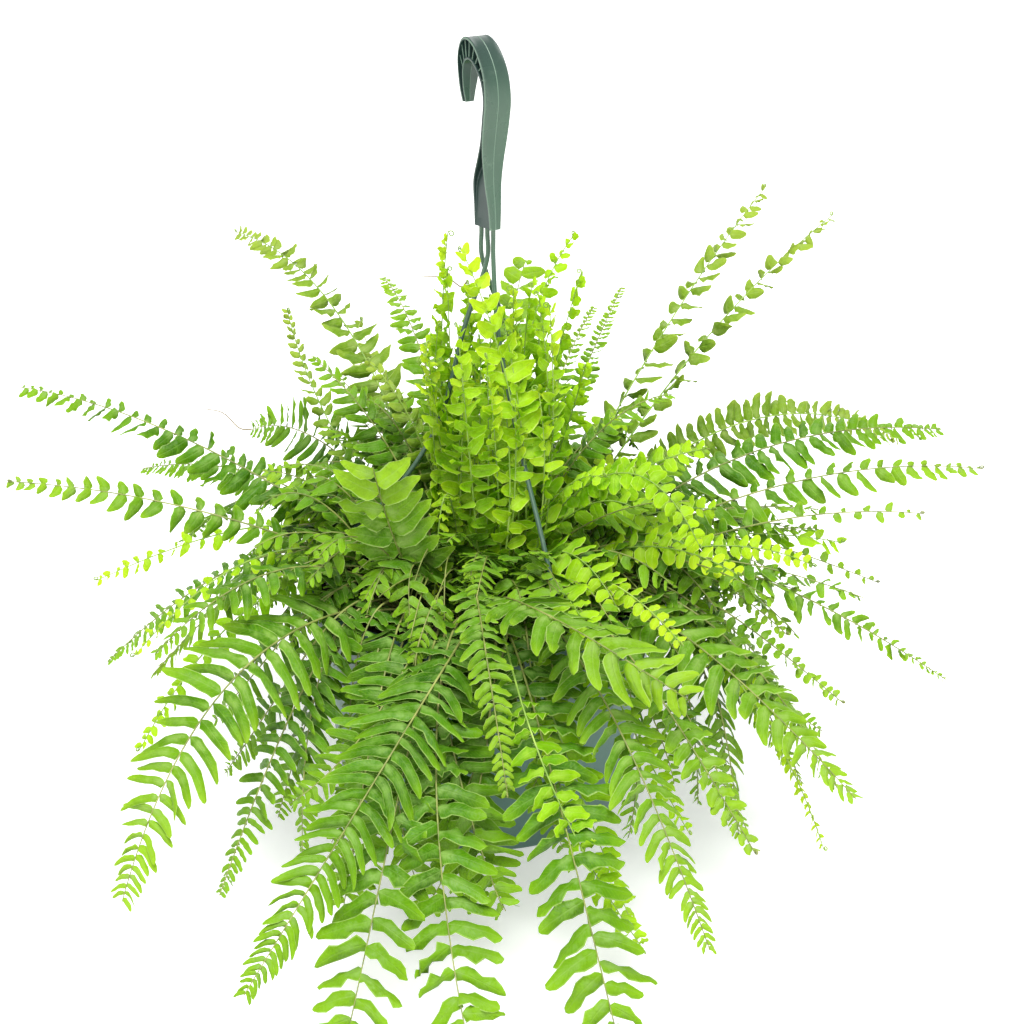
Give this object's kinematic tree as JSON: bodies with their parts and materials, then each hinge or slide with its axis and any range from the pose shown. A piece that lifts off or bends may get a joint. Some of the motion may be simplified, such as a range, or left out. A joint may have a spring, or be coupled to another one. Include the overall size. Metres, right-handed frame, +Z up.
{
  "type": "potted fern",
  "caption": "Leafy fern with arching fronds in a round tapered hanging basket, with a moulded hook on thin strands above its rim.",
  "frame": {"origin": "centre of the pot's flat base", "axes": "+Z up along the pot's axis; -Y towards the side that the longest drooping fronds cover"},
  "size_m": [0.6991, 0.7133, 0.5317],
  "materials": {
    "pot_plastic": "smooth matt, slate green",
    "hanger_plastic": "satin, dark green",
    "growing_mix": "crumbly, dark brown",
    "frond_mature": "soft gloss, deep green",
    "frond_light": "soft gloss, mid green",
    "frond_young": "soft gloss, bright yellow-green",
    "frond_tender": "matt, pale yellow-green"
  },
  "bodies": {
    "root": {"pot": "pot_plastic", "growing_mix": "growing_mix", "hook": "hanger_plastic", "strand_right": "hanger_plastic", "strand_left": "hanger_plastic", "strand_back": "hanger_plastic", "frond_crown_13": "frond_light", "frond_front_1": "frond_light", "frond_left_7": "frond_light", "frond_front_9": "frond_light", "frond_front_8": "frond_young", "frond_crown_7": "frond_tender", "frond_front_5": "frond_light", "frond_front_3": "frond_mature", "frond_front_4": "frond_mature", "frond_right_1": "frond_light", "frond_front_2": "frond_mature", "frond_left_9": "frond_mature", "frond_right_7": "frond_mature", "frond_right_6": "frond_light", "frond_left_1": "frond_mature", "frond_left_3": "frond_young", "frond_left_8": "frond_young", "frond_left_6": "frond_mature", "frond_left_11": "frond_mature", "frond_front_6": "frond_young", "frond_front_7": "frond_young", "frond_front_10": "frond_young", "frond_right_2": "frond_mature", "frond_right_12": "frond_mature", "frond_right_10": "frond_young", "frond_right_13": "frond_young", "frond_right_8": "frond_tender", "frond_right_9": "frond_young", "frond_right_11": "frond_tender", "frond_right_4": "frond_young", "frond_right_5": "frond_young", "frond_left_2": "frond_mature", "frond_left_4": "frond_tender", "frond_back_left_5": "frond_mature", "frond_back_left_1": "frond_young", "frond_back_left_2": "frond_young", "frond_back_left_3": "frond_tender", "frond_back_left_4": "frond_mature", "frond_crown_1": "frond_young", "frond_crown_2": "frond_tender", "frond_crown_4": "frond_young", "frond_crown_6": "frond_young", "frond_crown_8": "frond_tender", "frond_crown_10": "frond_young", "frond_crown_12": "frond_mature", "frond_back_right_1": "frond_mature", "frond_crown_14": "frond_tender", "frond_back_1": "frond_mature", "frond_back_2": "frond_light", "frond_back_3": "frond_mature", "frond_back_4": "frond_mature", "frond_back_5": "frond_mature", "frond_back_6": "frond_mature", "frond_back_7": "frond_light"}
  },
  "joints": []
}
